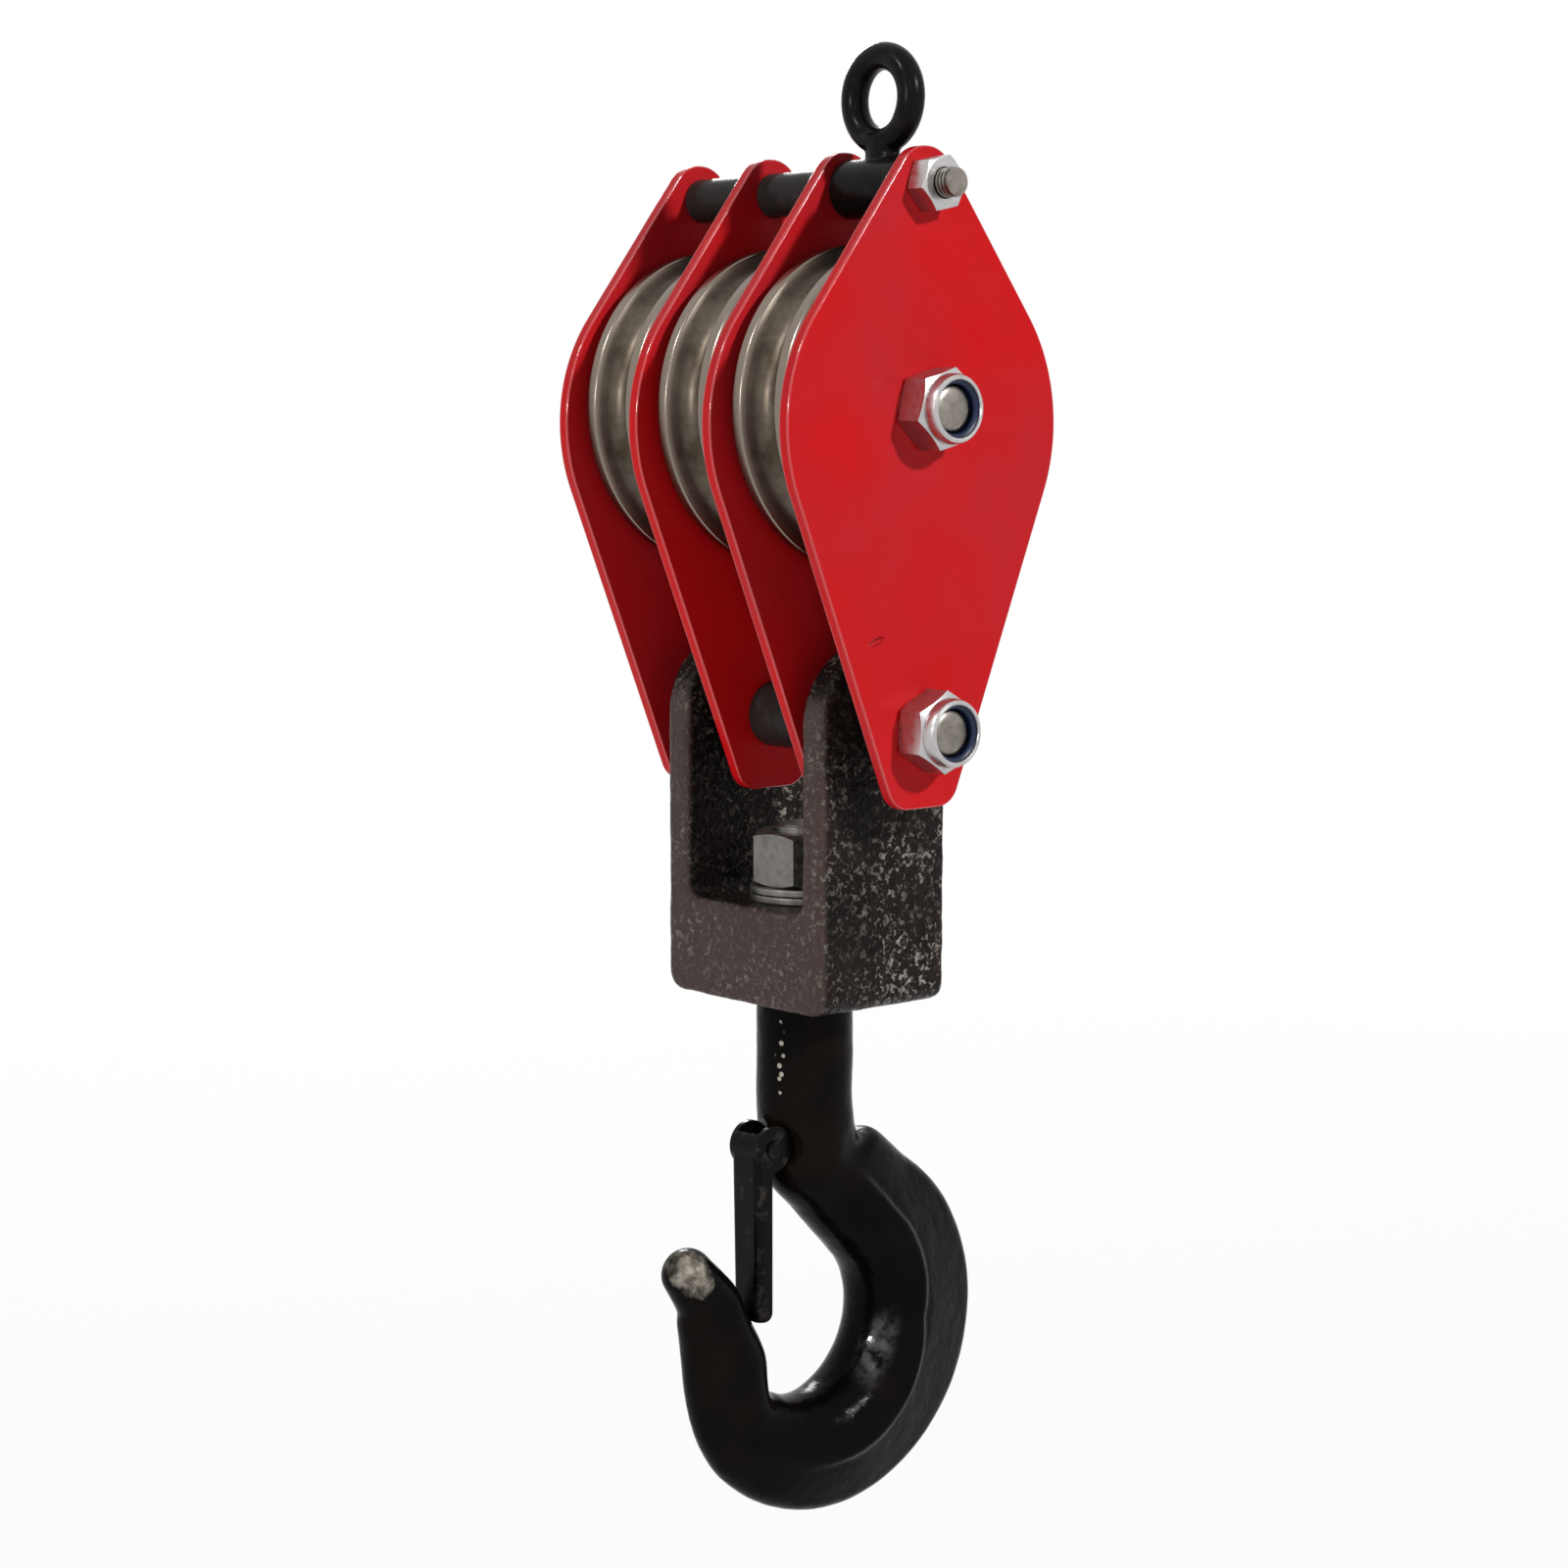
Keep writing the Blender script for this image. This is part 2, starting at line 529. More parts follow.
def thread(radius, pitch, start, end, depth):
    """Helical ridge of a screw thread between two heights."""
    ridge = started(bpy.ops.mesh.primitive_circle_add, vertices=3, radius=depth * MM,
                    location=((radius - depth * 0.3) * MM, 0, start * MM),
                    rotation=(*ACROSS[:2], math.radians(-90)))
    settle(ridge, Matrix())
    modify(ridge, "SCREW", axis="Z", screw_offset=pitch * MM, iterations=max(1, int((end - start) / pitch)),
           steps=40, render_steps=40)
    pick(ridge, "VERT", lambda place: True)
    merge_points(0.001)
    bpy.ops.mesh.fill_holes(sides=4)
    face_outward()
    return ridge


def joined(piece, *others):
    """One object from several."""
    take(piece, *others)
    bpy.ops.object.join()
    return bpy.context.object


def copies(pattern, count):
    """Copies of a piece, each with its own mesh, and the piece itself as the last."""
    pieces = [pattern.copy() for _ in range(count - 1)]
    for piece in pieces:
        piece.data = pattern.data.copy()
        bpy.context.collection.objects.link(piece)
    return pieces + [pattern]


LAMP_AIM = Vector((0, 0, -0.1))


def make_stage(sizes, colours):
    """Pale floor, five lamps, white surround and the camera."""
    surround(colours)
    floor = started(bpy.ops.mesh.primitive_circle_add, vertices=64, radius=9, fill_type="NGON",
                    location=(0, 0, -sizes.floor_drop))
    settle(floor, Matrix())
    floor.name = "floor"
    floor.data.materials.append(new_material("pale_floor", pale_floor))

    lamps = (("key", (0.45, -2.0, 1.1), 0.15, 34), ("side", (-1.5, 0.15, 1.3), 0.2, 12),
             ("glint", (-1.5, -1.5, 0.9), 0.09, 1.6), ("left", (-1.7, -0.25, 0.3), 0.12, 7),
             ("back", (1.1, 1.9, 0.8), 0.5, 22))
    for name, place, width, power in lamps:
        bpy.ops.object.light_add(type="AREA", location=place)
        lamp = bpy.context.object
        lamp.name = f"{name}_lamp"
        lamp.data.size = width
        lamp.data.energy = power
        lamp.rotation_euler = (LAMP_AIM - Vector(place)).to_track_quat("-Z", "Y").to_euler()

    bpy.ops.object.camera_add(location=(-0.708, -0.815, 0),
                              rotation=(math.radians(83.225), 0, math.radians(-40.6)))
    camera = bpy.context.object
    camera.name = "photo_camera"
    camera.data.lens = 72.5
    bpy.context.scene.camera = camera
    bpy.context.scene.view_settings.view_transform = "Standard"


PLATE_CORNERS = ((-13.0, -131.0, 9), (13.0, -131.0, 9), (67.65, 3.67, 59), (6.44, 84.3, 12),
                 (-6.44, 84.3, 12), (-67.65, 3.67, 59))


def plate_outline():
    """The plate's edge: straight runs between true arcs, with a point every few degrees."""
    points = []
    for number, (x, z, radius) in enumerate(PLATE_CORNERS):
        before, after = PLATE_CORNERS[number - 1], PLATE_CORNERS[(number + 1) % len(PLATE_CORNERS)]
        corner = Vector((x, z))
        back = (Vector(before[:2]) - corner).normalized()
        onward = (Vector(after[:2]) - corner).normalized()
        half = back.angle(onward) / 2
        centre = corner + (back + onward).normalized() * radius / math.sin(half)
        first = corner + back * radius / math.tan(half) - centre
        sweep = math.pi - 2 * half
        steps = math.ceil(math.degrees(sweep) / 2.5)
        for step in range(steps + 1):
            spot = centre + Matrix.Rotation(sweep * step / steps, 2) @ first
            points.append(Vector((spot.x, 0, spot.y)) * MM)
    return points


def plate_blank():
    """Sheet cut to its outline with rounded corners and three holes, lying on the XZ plane."""
    blank = drawn(plate_outline(), True)
    merge_points(0.001)
    bpy.ops.mesh.edge_face_add()
    bpy.ops.object.mode_set(mode="OBJECT")
    modify(blank, "SOLIDIFY", thickness=SHEET * MM, offset=0)
    for height, radius in ((0, LARGE_HOLE), (LOWER_BOLT, LARGE_HOLE), (UPPER_BOLT, SMALL_HOLE)):
        combine(blank, drum(radius, 20, 48, (0, 0, height)), "DIFFERENCE")
    return blank


def make_plates(sizes, material):
    """Four painted cheek plates, cut alike."""
    blank = plate_blank()
    round_off(blank, sizes.plate_edge / MM, 3, 50)
    for number, plate in enumerate(copies(blank, 4), 1):
        deliver(plate, at(0, (number - 2.5) * PITCH, 0), f"painted_plate_{number}", "frame", "red_paint", material,
                f"cheek_plate_{number}")


def make_sheaves(sizes, colours):
    """Three turned sheaves with a rope groove and recessed sides."""
    angles = [math.radians(-65 + step * 130 / 12) for step in range(13)]
    groove = [(SHEAVE_RIM - GROOVE * math.cos(angle), GROOVE * math.sin(angle)) for angle in angles]
    flank = [(14, 15.25), (23, 15.25), (26, 6), (33.5, 6), (36.5, 13.25), (SHEAVE_RIM, 13.25), (54, 12.4), (54, 8.4)]
    profile = [(radius, -side) for radius, side in flank] + groove + flank[::-1]
    pattern = turned(profile, sizes.turned_steps)
    round_off(pattern, sizes.sheave_edge / MM, 3, 28)
    for row, sheave in zip(SHEAVES, copies(pattern, len(SHEAVES))):
        steel = new_material(f"machined_steel_{row}", turned_steel, colours, row)
        deliver(sheave, at(0, (row - 2) * PITCH, 0, UP_TO_FAR), f"turned_sheave_{row}", f"sheave_{row}",
                "turned_steel", steel, f"sheave_{row}")


def bolt(diameter, flats, head, grip, pitch):
    """Hexagon bolt: head below z = 0, threaded end above the grip."""
    radius = diameter / 2
    core = radius * 0.9
    shank = turned([(0, -1), (radius, -1), (radius, grip - 16), (core, grip - 15), (core, grip - 0.8),
                    (radius * 0.72, grip), (0, grip)], 48)
    top = hexagon(flats, head, 0)
    settle(top, at(0, 0, -head))
    round_off(top, 0.3)
    return joined(shank, top, thread(radius, pitch, grip - 15.5, grip - 1.4, radius * 0.12))


def make_bolts(material):
    """Axle bolt, lower cross bolt and upper bolt, heads on the far side."""
    large, small = (16, 24, 10, 133.4, 2.0), (10, 16.5, 6.4, 134.9, 1.5)
    for name, plan, height in (("axle_bolt", large, 0), ("yoke_bolt", large, LOWER_BOLT),
                               ("top_bolt", small, UPPER_BOLT)):
        deliver(bolt(*plan), at(0, STACK, height, UP_TO_NEAR), f"zinc_{name}", "frame", "zinc_plate", material, name)


def make_lock_nuts(metal, nylon):
    """Lock nuts with a rolled collar round a nylon ring."""
    for name, height, turn in (("axle", 0, 16), ("yoke", LOWER_BOLT, 28)):
        place = at(0, -STACK, height, UP_TO_NEAR)
        body = hexagon(24, 11.5, turn, 8.08)
        collar = turned([(10.0, 10.4), (11.4, 10.4), (11.5, 12.2), (11.35, 14.2), (10.9, 15.4), (10.2, 16.0),
                         (9.5, 15.9), (9.3, 15.4), (9.4, 14.9), (10.0, 14.9)], 64)
        combine(body, collar, "UNION")
        round_off(body, 0.35, 2, 24)
        deliver(body, place, f"zinc_{name}_nut", "frame", "zinc_plate", metal, f"{name}_nut")
        ring = turned([(8.08, 11.5), (10.0, 11.5), (10.0, 14.9), (9.3, 14.9), (8.4, 14.4), (8.08, 13.9)], 64)
        deliver(ring, place, f"nylon_{name}_ring", "frame", "nylon", nylon, f"{name}_nut_insert")


def make_top_nut(material):
    """Plain nut on the upper bolt."""
    nut = hexagon(16.5, 8.4, 12, 5.08)
    round_off(nut, 0.25, 2, 24)
    deliver(nut, at(0, -STACK, UPPER_BOLT, UP_TO_NEAR), "zinc_top_nut", "frame", "zinc_plate", material, "top_nut")


def make_tubes(material):
    """Spacer tubes on the upper and lower bolts, with faced and chamfered ends."""
    small, large = (7.5, SMALL_HOLE, UPPER_BOLT), (11.25, LARGE_HOLE, LOWER_BOLT)
    plans = (("top_spacer_1", small, -17, 17), ("top_spacer_2", small, 21.5, 55.5),
             ("middle_spacer", large, -17, 17), ("yoke_spacer_1", large, -55.5, -41.15),
             ("yoke_spacer_2", large, -29.65, -21.5), ("yoke_spacer_3", large, 21.5, 29.65),
             ("yoke_spacer_4", large, 41.15, 55.5))
    for name, (outer, inner, height), start, end in plans:
        run = end - start
        tube = turned([(inner, 0), (outer - 0.6, 0), (outer, 0.6), (outer, run - 0.6), (outer - 0.6, run),
                       (inner, run)], 56)
        round_off(tube, 0.2)
        deliver(tube, at(0, start, height, UP_TO_FAR), f"blacked_{name}", "frame", "black_oxide", material, name)


def make_becket_eye(sizes, material):
    """Forged eye on its boss, its flares grown together and dressed."""
    ring = started(bpy.ops.mesh.primitive_torus_add, major_segments=96, minor_segments=32,
                   major_radius=13.6 * MM, minor_radius=4.6 * MM, location=(0, 0, 28.6 * MM),
                   rotation=(0, math.radians(90), 0))
    neck = drum(1, 13, 40, turn=UPRIGHT)
    pick(neck, "EDGE", lambda one, two: abs(one.z - two.z) > 5)
    bpy.ops.mesh.subdivide(number_cuts=7)
    bpy.ops.object.mode_set(mode="OBJECT")
    for vertex in neck.data.vertices:
        away = abs(vertex.co.z / MM) / 6.5
        vertex.co.x *= 4.3 + 1.6 * away ** 3
        vertex.co.y *= 6.9 + 3.4 * away ** 2
    settle(neck, at(0, 0, 10.4))
    boss = turned([(0, -16.75), (8.55, -16.75), (9.75, -15.55), (9.75, 15.55), (8.55, 16.75), (0, 16.75)], 64)
    settle(boss, UP_TO_FAR)
    combine(ring, neck, "UNION")
    combine(ring, boss, "UNION")
    grow_together(ring, sizes.eye_cell, 6)
    combine(ring, drum(5.06, 40, 48), "DIFFERENCE")
    deliver(ring, at(0, -PITCH, UPPER_BOLT), "forged_eye", "becket", "black_forging", material, "becket_eye",
            angle=40, formed=True)


def lumps(piece, height, size_mm, name):
    """Push the surface in and out a little, as a mould or die leaves it."""
    texture = bpy.data.textures.new(name, "CLOUDS")
    texture.noise_scale = size_mm * MM
    texture.noise_depth = 2
    modify(piece, "DISPLACE", texture=texture, strength=height)


def make_yoke(sizes, material):
    """Cast fork: a block with a slot, round ears and soft cast edges."""
    fork = block((55.8, 81.8, 124.4), (0, 0, -34.3))
    bevel_edges(fork, lambda one, two: min(one.z, two.z) > 27.8 and abs(one.x - two.x) < 1, 27.85, 28)
    bevel_edges(fork, lambda one, two: max(one.z, two.z) < -96.4 and abs(one.y - two.y) < 1, 7, 8)
    slot = block((80, 59.8, 100), (0, 0, -13))
    bevel_edges(slot, lambda one, two: max(one.z, two.z) < -62.9 and abs(one.y - two.y) < 1, 5, 8)
    combine(fork, slot, "DIFFERENCE")
    round_off(fork, 1.5, 3, 35)
    grow_together(fork, sizes.cast_cell, 4)
    lumps(fork, sizes.cast_lump, 9, "casting_lumps")
    lumps(fork, sizes.cast_lump * 0.5, 3.2, "casting_grain")
    combine(fork, drum(8.06, 120, 56), "DIFFERENCE")
    combine(fork, drum(11.06, 120, 56, (0, 0, -80), UPRIGHT), "DIFFERENCE")
    deliver(fork, at(0, 0, LOWER_BOLT), "cast_yoke", "yoke", "black_casting", material, "yoke", angle=45, formed=True)


def bowl_section(angle):
    """Section of the hook between its inner and outer circles along a ray from the middle of the bowl."""
    turn = math.radians(angle)
    inner = (BOWL_MIDDLE[0] + BOWL_RADIUS * math.cos(turn), BOWL_MIDDLE[1] + BOWL_RADIUS * math.sin(turn))
    along = BACK_SHIFT[0] * math.cos(turn) + BACK_SHIFT[1] * math.sin(turn)
    depth = along + math.sqrt(along ** 2 + BACK_RADIUS ** 2 - BACK_SHIFT[0] ** 2 - BACK_SHIFT[1] ** 2) - BOWL_RADIUS
    taper = max(0.0, -68 - angle) / 64
    return (*inner, angle, depth, min(17.5 - 4.5 * taper, 0.48 * depth), min(8.0, 0.48 * depth))


# Sections of the forged hook: inner crest x and z, direction, depth, inner and outer radius.
HOOK_SECTIONS = (
    [(-16.8, -2.0, 0, 33.6, 16.8, 16.8), (-16.8, -20.0, 0, 33.6, 16.8, 16.8),
     (-16.8, -39.4, 0, 33.6, 16.7, 16.7), (-14.0, -63.5, 19, 36.8, 15.8, 13.5),
     (-1.8, -77.6, 39, 41.5, 16.2, 12.0)]
    + [bowl_section(angle) for angle in (48, 35, 22, 8, -5, -20, -35, -51, -68, -84, -100, -116, -132)]
    + [(-21.5, -122.1, -170, 31.7, 11.6, 8.7), (-28.7, -107.5, -175, 26.2, 10.6, 8.7),
       (-33.8, -96.8, -159, 22.5, 9.5, 8.7), (-45.4, -84.9, -143, 18.2, 9.0, 9.0)]
)


def between(a, b, c, d, t):
    """Point of a smooth curve from b to c."""
    return 0.5 * (2 * b + (c - a) * t + (2 * a - 5 * b + 4 * c - d) * t * t + (3 * b - a - 3 * c + d) * t ** 3)


def hook_section(t):
    """Section at a share of the way down the list."""
    last = len(HOOK_SECTIONS) - 1
    low = min(int(t), last - 1)
    rows = [HOOK_SECTIONS[min(max(low + step, 0), last)] for step in (-1, 0, 1, 2)]
    return [between(*(row[item] for row in rows), t - low) for item in range(6)]


def flank_relief(share, height, crest):
    """Rise of the flank at a share of the depth: a soft slope up to a sharp ridge, then a shallow hollow."""
    if share < crest:
        return height * max(0.0, 1 - (crest - share) / 0.24) ** 2
    past = share - crest
    return height * (1.5 * max(0.0, 1 - past / 0.05) - 0.5 * max(0.0, 1 - past / (1 - crest)))


def arc(middle, radius, angles):
    """Points round a middle on the section's axis, each with its outward direction."""
    outward = [Vector((math.cos(angle), math.sin(angle))) for angle in angles]
    return [(Vector((middle, 0)) + way * radius, way) for way in outward]


def section_points(depth, near, far, ridge, ridge_at):
    """Outline of a section: round inside, a ridge on each flank, narrow outside."""
    middle = depth - far
    lean = math.asin(max(-1, min(1, (near - far) / max(middle - near, 0.5))))
    square = Vector((math.sin(lean), math.cos(lean)))
    start = Vector((near, 0)) + square * near
    end = Vector((middle, 0)) + square * far
    outline = arc(near, near, [math.pi - step / 28 * (math.pi / 2 + lean) for step in range(28)])
    outline += [(start.lerp(end, step / 12), square) for step in range(12)]
    outline += arc(middle, far, [(math.pi / 2 - lean) * (1 - step / 12) for step in range(13)])
    points = [tuple(place + outward * flank_relief(place.x / depth, ridge, ridge_at))
              for place, outward in outline]
    points[0] = (points[0][0], 0.0)
    points[-1] = (points[-1][0], 0.0)
    return points + [(x, -y) for x, y in reversed(points[1:-1])]


def heading(degrees):
    """Direction in the hook's plane."""
    turn = math.radians(degrees)
    return Vector((math.cos(turn), 0, math.sin(turn)))


def hook_rings():
    """Rings of the hook's skin from the neck to the tip, which ends in a dome."""
    rings = []
    last = len(HOOK_SECTIONS) - 1
    rows = 140
    for row in range(rows):
        t = last * row / (rows - 1)
        x, z, turn, depth, near, far = hook_section(t)
        ridge = 1.4 * max(0.0, min(1.0, (t - 3.4) / 1.4, (15.2 - t) / 3.0))
        outline = section_points(depth, near, far, ridge, 0.3 + 0.04 * abs(t - 9.0))
        along = heading(turn)
        rings.append([Vector((x, 0, z)) + along * run + Vector((0, -side, 0)) for run, side in outline])
    for degrees in (12, 24, 36, 48, 60, 70, 79, 86):
        angle = math.radians(degrees)
        rings.append([TIP + (place - TIP) * math.cos(angle) + heading(127) * TIP_LENGTH * math.sin(angle)
                      for place in rings[rows - 1]])
    return rings


def hook_body():
    """Forged body: a sheet rolled through the hook's rings and closed at its ends."""
    rings = hook_rings()
    count = len(rings[0])
    sheet = started(bpy.ops.mesh.primitive_grid_add, x_subdivisions=count, y_subdivisions=len(rings) - 1, size=1)
    for row, ring in enumerate(rings):
        for column in range(count + 1):
            sheet.data.vertices[row * (count + 1) + column].co = ring[column % count] * MM
    pick(sheet, "VERT", lambda place: True)
    merge_points(0.01)
    bpy.ops.mesh.select_all(action="DESELECT")
    bpy.ops.mesh.select_non_manifold()
    bpy.ops.mesh.fill_holes(sides=0)
    face_outward()
    return sheet


def make_hook(sizes, material, bare):
    """Swivel hook: forged body, latch lug and threaded neck."""
    body = hook_body()
    hinge_x, hinge_z = LATCH_HINGE[0], LATCH_HINGE[2] - HOOK_TOP
    lug = drum(4.6, 6.75, 40, (hinge_x, -1.725, hinge_z))
    pick(lug, "FACE", lambda normal: normal.x > 0.5)
    bpy.ops.mesh.extrude_region_move(TRANSFORM_OT_translate={"value": (13 * MM, 0, -2 * MM)})
    combine(body, lug, "UNION")
    for middle in (-12.1, 8.65):
        combine(body, drum(9, 14, 64, (hinge_x, middle, hinge_z)), "DIFFERENCE")
    grow_together(body, sizes.forge_cell, 2)
    lumps(body, sizes.forge_lump, 14, "forging_lumps")
    combine(body, drum(2.05, 30, 32, (hinge_x, 0, hinge_z)), "DIFFERENCE")
    deliver(body, at(0, 0, HOOK_TOP), "forged_hook", "hook", "black_forging", material, "hook", angle=50, formed=True)
    neck = turned([(0, -3), (16.1, -3), (16.1, -1.4), (15.3, -0.3), (10.95, -0.3), (10.95, 34), (10.2, 35),
                   (10.2, 59), (9.2, 60), (0, 60)], 72)
    neck = joined(neck, thread(11, 2.5, 35.5, 58, 1.2))
    deliver(neck, at(0, 0, HOOK_TOP), "threaded_neck", "hook", "bare_steel", bare)


def make_hook_nut(steel):
    """Nut, its pin and the two washers below it."""
    turn = -23.4
    nut = hexagon(32, 18.6, turn, 11.08)
    round_off(nut, 0.5, 2, 24)
    deliver(nut, at(0, 0, -162.65), "dull_hook_nut", "hook", "bare_steel", steel, "hook_nut")
    pin = turned([(0, -15.7), (1.6, -15.7), (2, -15.3), (2, 15.3), (1.6, 15.7), (0, 15.7)], 32)
    across = Matrix.Rotation(math.radians(turn), 4, "Z") @ UP_TO_FAR
    deliver(pin, at(0, 0, -153.35, across), "nut_pin", "hook", "bare_steel", steel, "hook_nut_pin")
    for name, height, body in (("lower", -168, "yoke"), ("upper", -165.25, "hook")):
        washer = turned([(11.2, 0), (19, 0), (19, 2.6), (11.2, 2.6)], 72)
        round_off(washer, 0.5, 3, 40)
        deliver(washer, at(0, 0, height), f"{name}_washer", body, "bare_steel", steel, f"hook_washer_{name}")


def make_latch(material):
    """Latch folded from sheet, with round bends, ears and a pin; closed inside the tip."""
    inward = (1.1 * MM, 0, 0)
    shell = block((7.0, 14.4, 60.3), (-4.3, 0, -30.15))
    pick(shell, "VERT", lambda place: place.x < -7.7 and place.z < -59)
    bpy.ops.transform.translate(value=inward)
    bevel_edges(shell, lambda one, two: max(one.x, two.x) < -6 and abs(one.z - two.z) > 1, 2.6, 8)
    bevel_edges(shell, lambda one, two: min(one.x, two.x) > -1 and max(one.z, two.z) < -59, 3, 6)
    combine(shell, drum(8, 14.4, 56), "UNION")
    inside = block((22.0, 10.8, 80), (5.0, 0, -24))
    bevel_edges(inside, lambda one, two: max(one.x, two.x) < 0 and abs(one.z - two.z) > 1, 0.9, 4)
    pick(inside, "VERT", lambda place: place.x < 0 and place.z < 0)
    bpy.ops.transform.translate(value=inward)
    combine(shell, inside, "DIFFERENCE")
    combine(shell, drum(2.06, 30, 32), "DIFFERENCE")
    round_off(shell, 0.35, 2, 40)
    deliver(shell, at(*LATCH_HINGE), "folded_latch", "latch", "black_sheet", material, "latch")
    pin = turned([(0, -8.5), (2.2, -8.5), (3.0, -8.2), (3.2, -7.5), (2, -7.5), (2, 7.5), (3.2, 7.5), (3.0, 8.2),
                  (2.2, 8.5), (0, 8.5)], 32)
    deliver(pin, at(*LATCH_HINGE, UP_TO_FAR), "latch_rivet", "hook", "black_sheet", material, "latch_pin")


def make_latch_spring(steel):
    """Torsion spring drawn from round wire: an end on the latch, a coil round the pin, an end on the hook."""
    wire = started(bpy.ops.curve.primitive_nurbs_path_add, radius=MM)
    turns, steps, coil = 2.25, 27, 3.35
    route = [(-5.25, 0, -14.9), (-4.9, 0, -12.0), (-3.9, 0, -5.0), (-3.3, 0, -1.5)]
    for step in range(steps + 1):
        angle = math.pi - math.tau * turns * step / steps
        route.append((coil * math.cos(angle), step / steps * turns, coil * math.sin(angle)))
    route += [(1.5, turns, 3.25), (3.5, turns, 3.2), (6.4, turns, 3.2)]
    spline = wire.data.splines[0]
    spline.points.add(len(route) - len(spline.points))
    for point, (x, rise, z) in zip(spline.points, route):
        point.co = (x * MM, (4.65 - rise) * MM, z * MM, 1)
    spline.order_u = 3
    spline.use_endpoint_u = True
    wire.data.bevel_depth = 0.45 * MM
    wire.data.bevel_resolution = 4
    wire.data.use_fill_caps = True
    bpy.ops.object.convert(target="MESH")
    deliver(wire, at(*LATCH_HINGE), "wire_spring", "latch", "spring_steel", steel, "latch_spring")


def dress_hidden(steel, bronze):
    """Bushes, sleeves and thrust washers keep their solids and get their own metal."""
    plans = [(f"sheave_bush_{row}", bronze) for row in SHEAVES]
    plans += [(f"{kind}_{row}", steel) for row in SHEAVES for kind in ("axle_sleeve", "thrust_pair")]
    for name, material in plans:
        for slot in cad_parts[name].material_slots:
            slot.material = material


def sizes_and_colours(context):
    """Groups of sizes and colours that the panel shows."""
    return context.scene.pulley_block_sizes, context.scene.pulley_block_colours


class BlockStage(bpy.types.Operator):
    """Floor, lamps, surround and camera"""
    bl_idname = "pulley_block.stage"
    bl_label = "Stage"

    def execute(self, context):
        make_stage(*sizes_and_colours(context))
        return {"FINISHED"}


class BlockPlates(bpy.types.Operator):
    """Four enamelled cheek plates"""
    bl_idname = "pulley_block.plates"
    bl_label = "Cheek plates"

    def execute(self, context):
        sizes, colours = sizes_and_colours(context)
        make_plates(sizes, new_material("sprayed_enamel_on_steel", red_enamel, colours))
        return {"FINISHED"}


class BlockSheaves(bpy.types.Operator):
    """Three rope sheaves with their bushes, sleeves and washers"""
    bl_idname = "pulley_block.sheaves"
    bl_label = "Sheaves"

    def execute(self, context):
        sizes, colours = sizes_and_colours(context)
        make_sheaves(sizes, colours)
        steel = new_material("ground_steel", metal_skin, "8F8F91", 0.25, 1.2, 0.7)
        dress_hidden(steel, new_material("cast_bronze", metal_skin, "A87B45", 0.35, 1.2, 0.7))
        return {"FINISHED"}


class BlockFasteners(bpy.types.Operator):
    """Cross bolts, lock nuts and spacer tubes"""
    bl_idname = "pulley_block.fasteners"
    bl_label = "Bolts, nuts and tubes"

    def execute(self, context):
        colours = sizes_and_colours(context)[1]
        zinc = new_material("bright_zinc_plate", metal_skin, colours.zinc, 0.3, 2.0, 0.8)
        make_bolts(new_material("dull_zinc_plate", metal_skin, "8E8880", 0.32, 0.8, 0.6))
        make_lock_nuts(zinc, new_material("moulded_nylon", nylon_ring, colours))
        make_top_nut(zinc)
        make_tubes(new_material("oil_blacked_steel", black_enamel, "2B2726", "3B3535", 0.3))
        return {"FINISHED"}


class BlockBecket(bpy.types.Operator):
    """Forged becket eye"""
    bl_idname = "pulley_block.becket"
    bl_label = "Becket eye"

    def execute(self, context):
        sizes = sizes_and_colours(context)[0]
        make_becket_eye(sizes, new_material("painted_eye_forging", black_enamel, "100E0E", "1E1A18", 0.24))
        return {"FINISHED"}


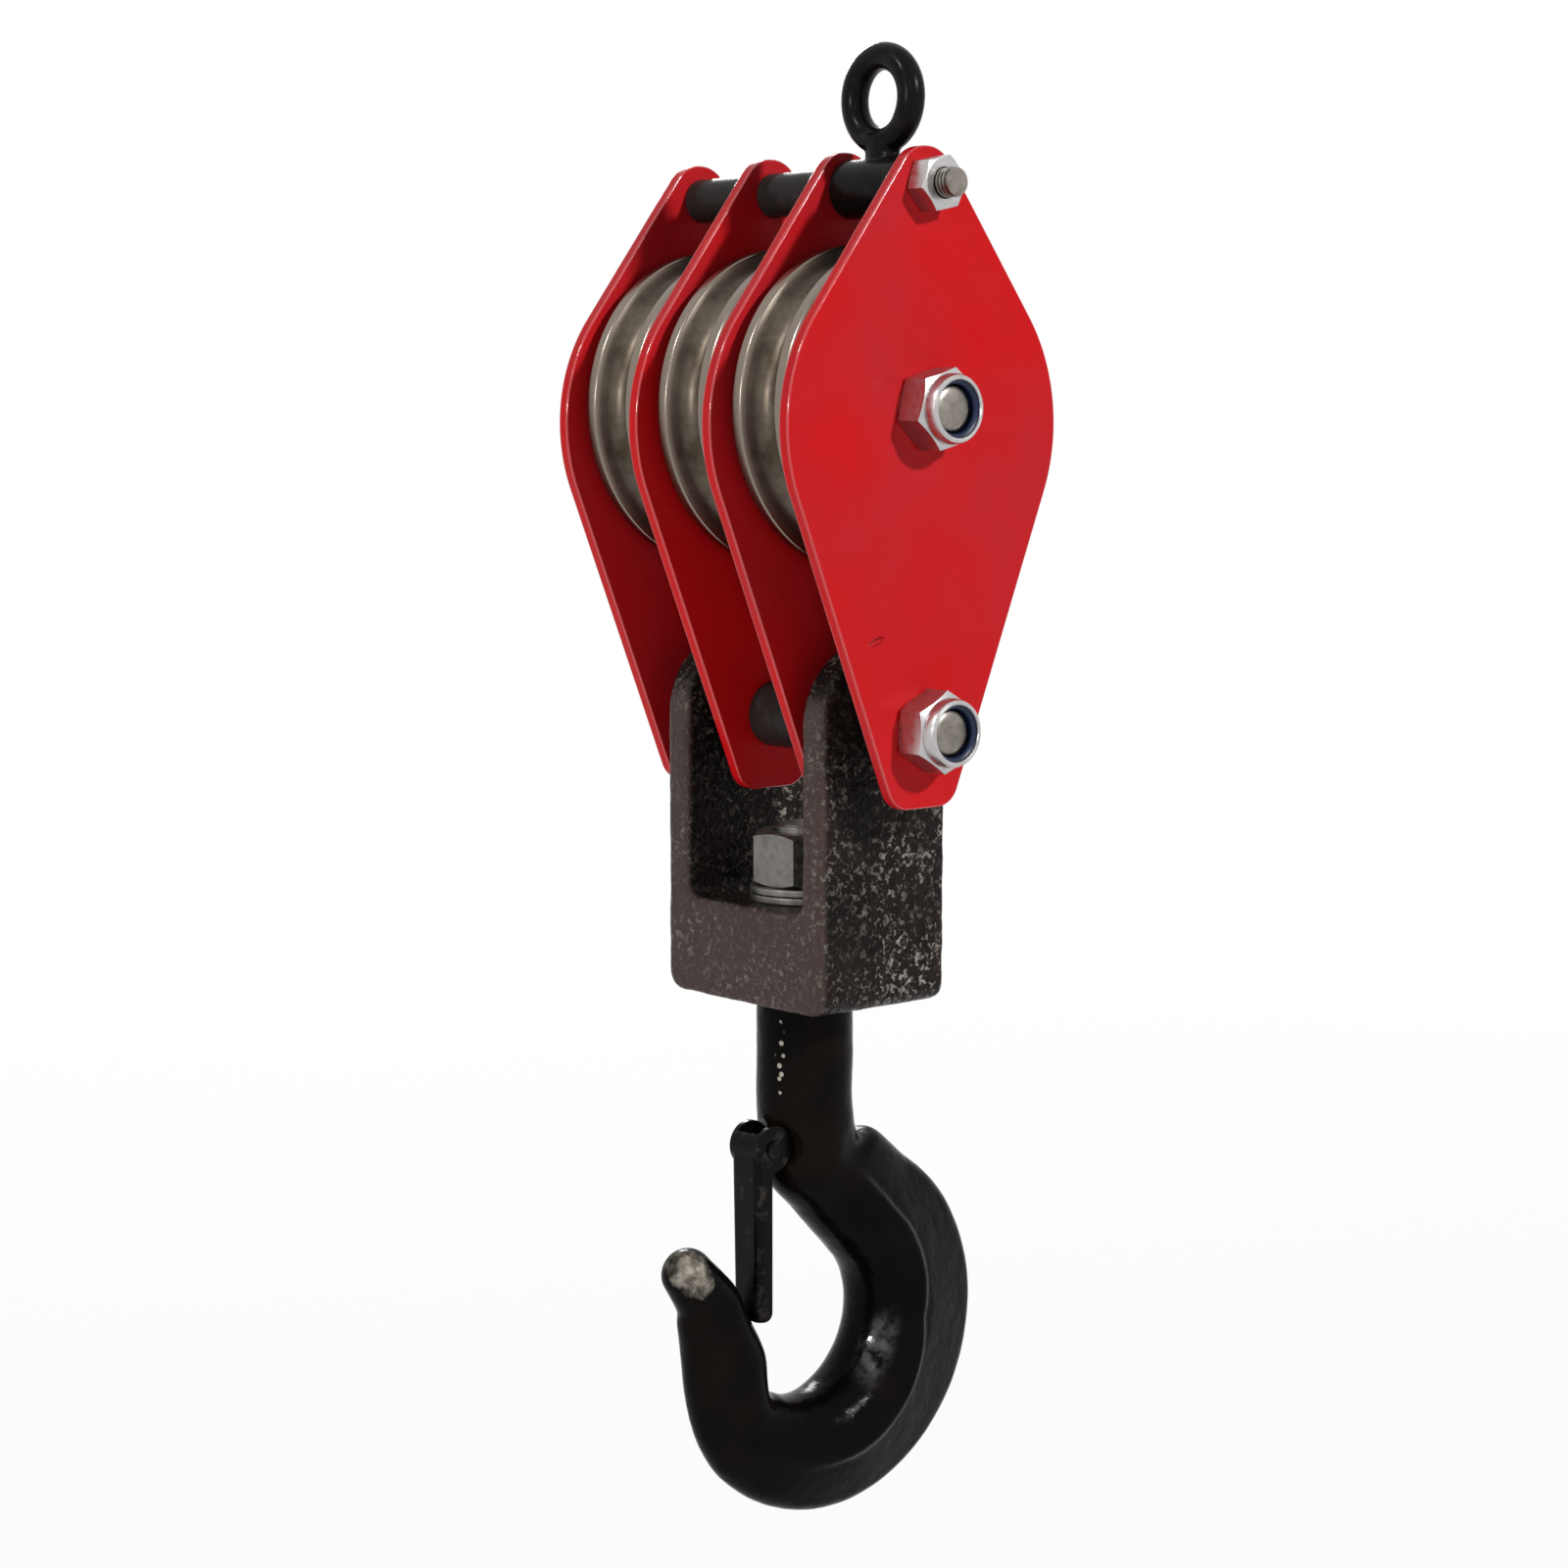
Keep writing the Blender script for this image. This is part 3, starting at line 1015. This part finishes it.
class BlockYoke(bpy.types.Operator):
    """Cast yoke"""
    bl_idname = "pulley_block.yoke"
    bl_label = "Yoke"

    def execute(self, context):
        sizes, colours = sizes_and_colours(context)
        make_yoke(sizes, new_material("painted_sand_casting", painted_casting, colours))
        return {"FINISHED"}


class BlockHook(bpy.types.Operator):
    """Swivel hook with its nut, pin and washers"""
    bl_idname = "pulley_block.hook"
    bl_label = "Hook"

    def execute(self, context):
        sizes, colours = sizes_and_colours(context)
        steel = new_material("dull_bare_steel", metal_skin, "7A7773", 0.4, 1.6, 0.6)
        make_hook(sizes, new_material("painted_forging", painted_forging, colours), steel)
        make_hook_nut(steel)
        return {"FINISHED"}


class BlockLatch(bpy.types.Operator):
    """Safety latch with its pin and spring"""
    bl_idname = "pulley_block.latch"
    bl_label = "Latch"

    def execute(self, context):
        make_latch(new_material("enamelled_latch_sheet", black_enamel, "08080A", "35302D", 0.24))
        make_latch_spring(new_material("drawn_spring_wire", metal_skin, "8D8D90", 0.28, 1.0, 0.7))
        return {"FINISHED"}


STEPS = (BlockStage, BlockPlates, BlockSheaves, BlockFasteners, BlockBecket, BlockYoke, BlockHook, BlockLatch)


class VIEW3D_PT_pulley_block(bpy.types.Panel):
    bl_label = "Pulley block"
    bl_space_type = "VIEW_3D"
    bl_region_type = "UI"
    bl_category = "Pulley block"

    def draw(self, context):
        for step in STEPS:
            self.layout.operator(step.bl_idname)
        for group in sizes_and_colours(context):
            for name in group.__annotations__:
                self.layout.prop(group, name)


CLASSES = (PulleyBlockSizes, PulleyBlockColours, *STEPS, VIEW3D_PT_pulley_block)


def register():
    for item in CLASSES:
        bpy.utils.register_class(item)
    bpy.types.Scene.pulley_block_sizes = PointerProperty(type=PulleyBlockSizes)
    bpy.types.Scene.pulley_block_colours = PointerProperty(type=PulleyBlockColours)


def unregister():
    del bpy.types.Scene.pulley_block_colours
    del bpy.types.Scene.pulley_block_sizes
    for item in reversed(CLASSES):
        bpy.utils.unregister_class(item)


def main():
    """Build every piece and note the size of the model before and after."""
    register()
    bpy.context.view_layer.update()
    for step in STEPS:
        group, name = step.bl_idname.split(".")
        getattr(getattr(bpy.ops, group), name)()


if __name__ == "__main__":
    main()
